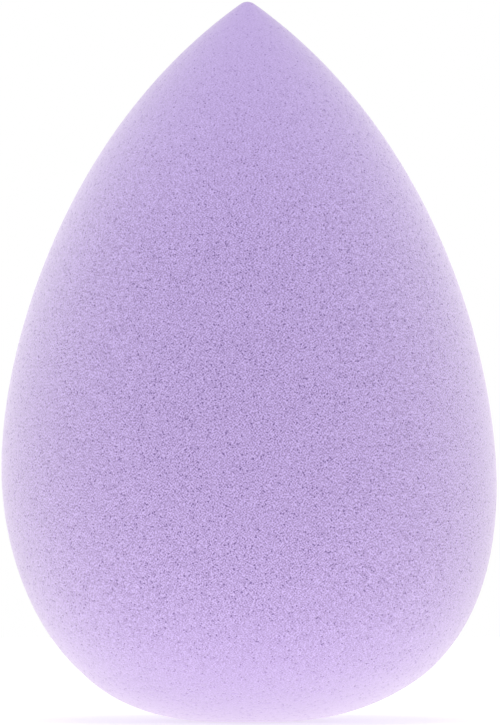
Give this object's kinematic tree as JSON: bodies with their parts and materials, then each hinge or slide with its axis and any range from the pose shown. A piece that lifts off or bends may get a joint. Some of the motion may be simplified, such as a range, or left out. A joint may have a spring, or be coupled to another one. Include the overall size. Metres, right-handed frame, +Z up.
{
  "type": "makeup sponge",
  "caption": "Teardrop makeup sponge of soft open-cell foam, with a full rounded belly, a pointed tip and a small flat underneath, for dabbing and blending liquid make-up.",
  "frame": {"origin": "middle of the small flat face that the sponge stands on", "axes": "+Z up through the pointed tip, along the axis of revolution; X and Y are alike"},
  "size_m": [0.0412, 0.0412, 0.06],
  "materials": {
    "lilac_foam": "matte"
  },
  "bodies": {
    "root": {"foam_body": "lilac_foam"}
  },
  "joints": []
}
